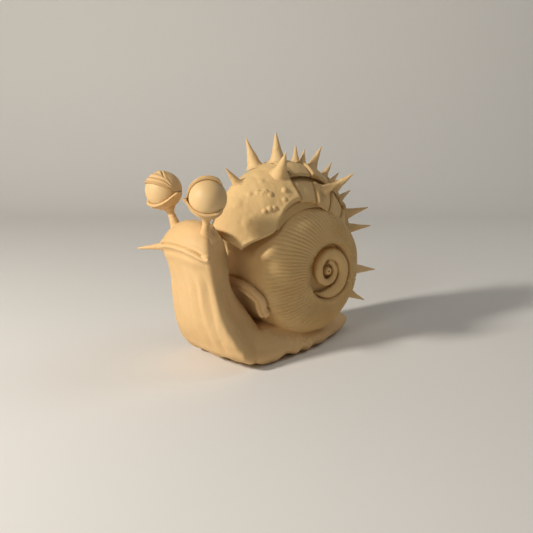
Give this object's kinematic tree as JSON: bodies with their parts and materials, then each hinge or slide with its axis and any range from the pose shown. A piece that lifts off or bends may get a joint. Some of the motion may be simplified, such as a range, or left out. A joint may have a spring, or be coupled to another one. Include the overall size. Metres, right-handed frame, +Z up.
{
  "type": "snail figurine",
  "caption": "Desk ornament of a snail with bulging eyes on stalks, a ribbed spiral shell and a spiked armoured hood over the shell.",
  "frame": {"origin": "middle of the sole, on the ground", "axes": "the snail faces -Y, its left side is +X, and +Z is up"},
  "size_m": [0.0468, 0.095, 0.0885],
  "materials": {
    "skin": "matte cast",
    "eye": "smooth cast",
    "shell": "ribbed cast",
    "armour": "matte cast",
    "spike": "matte cast",
    "pin": "plain"
  },
  "bodies": {
    "figurine": {"body": "skin", "eye_stalk_left": "skin", "eye_stalk_right": "skin", "feeler_left": "skin", "feeler_right": "skin", "hood": "armour", "hood_spike_front": "spike", "hood_spike_left": "spike", "hood_spike_right": "spike", "keel_plate_1": "armour", "keel_plate_2": "armour", "keel_plate_3": "armour", "keel_plate_4": "armour", "keel_spike_1": "spike", "keel_spike_2": "spike", "keel_spike_3": "spike", "keel_spike_4": "spike", "keel_spike_5": "spike", "keel_spike_6": "spike", "keel_spike_7": "spike", "left_spike_1": "spike", "left_spike_2": "spike", "left_spike_3": "spike", "left_spike_4": "spike", "left_spike_5": "spike", "left_spike_6": "spike", "locating_pins": "pin", "mantle_collar": "skin", "outer_whorl": "shell", "right_spike_1": "spike", "right_spike_2": "spike", "right_spike_3": "spike", "right_spike_4": "spike", "right_spike_5": "spike", "right_spike_6": "spike", "scute_left_1": "armour", "scute_left_2": "armour", "scute_left_3": "armour", "scute_left_4": "armour", "scute_right_1": "armour", "scute_right_2": "armour", "scute_right_3": "armour", "scute_right_4": "armour", "shell_wheel": "shell", "spire_left": "shell", "spire_right": "shell"},
    "eye_left": {"eyeball_left": "eye", "lower_lid_left": "skin", "upper_lid_left": "skin"},
    "eye_right": {"eyeball_right": "eye", "lower_lid_right": "skin", "upper_lid_right": "skin"}
  },
  "joints": [
    {"name": "eye_left_swivel", "type": "hinge", "parent": "figurine", "child": "eye_left", "pos_m": [0.0147, -0.0492, 0.067], "axis": [0.3428, -0.1524, 0.927], "continuous": true},
    {"name": "eye_right_swivel", "type": "hinge", "parent": "figurine", "child": "eye_right", "pos_m": [-0.0147, -0.0492, 0.067], "axis": [-0.3428, -0.1524, 0.927], "continuous": true}
  ]
}
